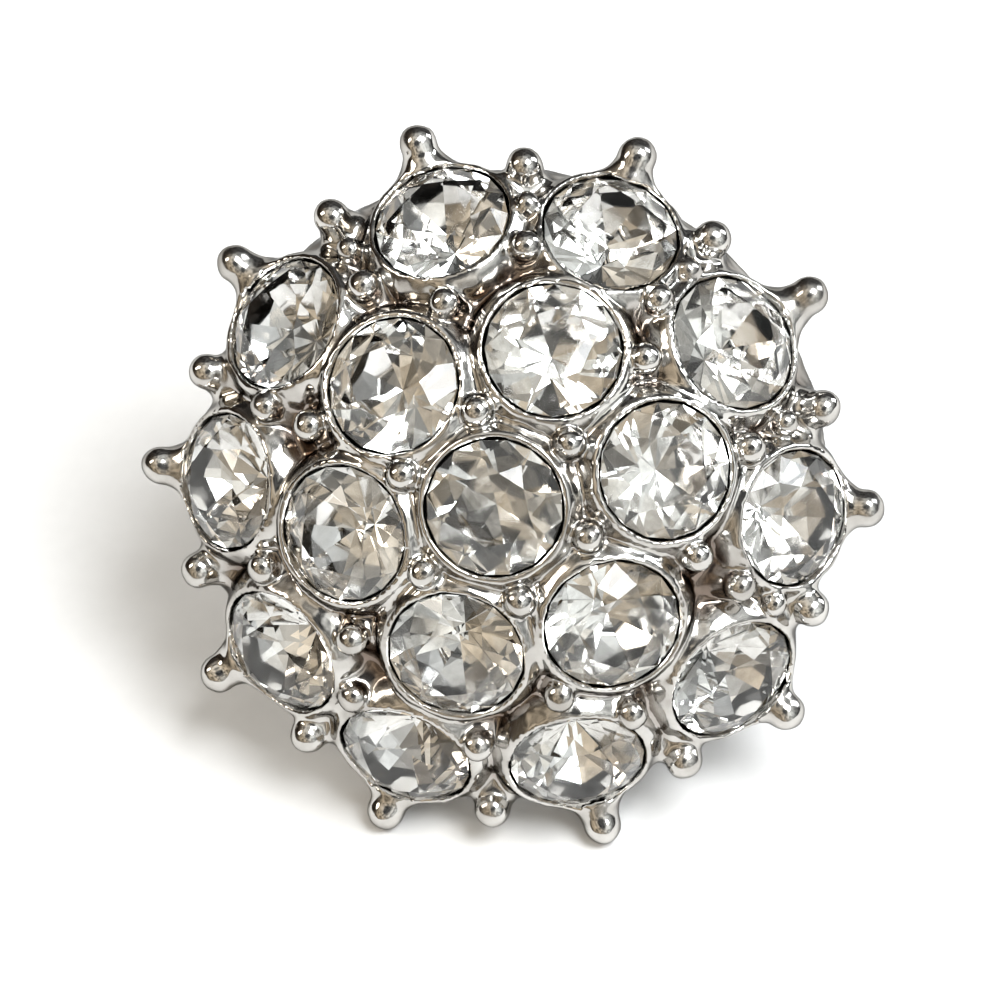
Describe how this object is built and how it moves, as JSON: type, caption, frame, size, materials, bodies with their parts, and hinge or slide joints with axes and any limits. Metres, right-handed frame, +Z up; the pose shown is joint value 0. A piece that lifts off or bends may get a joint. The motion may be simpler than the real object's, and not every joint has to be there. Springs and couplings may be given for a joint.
{
  "type": "cluster stud earring",
  "caption": "Round domed stud earring: round cut crystals in cast cups, small ball prongs between them and round the rim, straight ear post behind.",
  "frame": {"origin": "middle of the footprint's box, on the table that the earring lies on", "axes": "+Z up from the table, face turned to -Y and up, +X to the right of someone who looks at the face"},
  "size_m": [0.0224, 0.0158, 0.0159],
  "materials": {
    "metal": "bright plated casting, slightly worn",
    "crystal": "clear cut glass with a foil back"
  },
  "bodies": {
    "root": {"setting": "metal", "stone_centre": "crystal", "stone_inner_1": "crystal", "stone_inner_2": "crystal", "stone_inner_3": "crystal", "stone_inner_4": "crystal", "stone_inner_5": "crystal", "stone_inner_6": "crystal", "stone_outer_1": "crystal", "stone_outer_2": "crystal", "stone_outer_3": "crystal", "stone_outer_4": "crystal", "stone_outer_5": "crystal", "stone_outer_6": "crystal", "stone_outer_7": "crystal", "stone_outer_8": "crystal", "stone_outer_9": "crystal", "stone_outer_10": "crystal"}
  },
  "joints": []
}
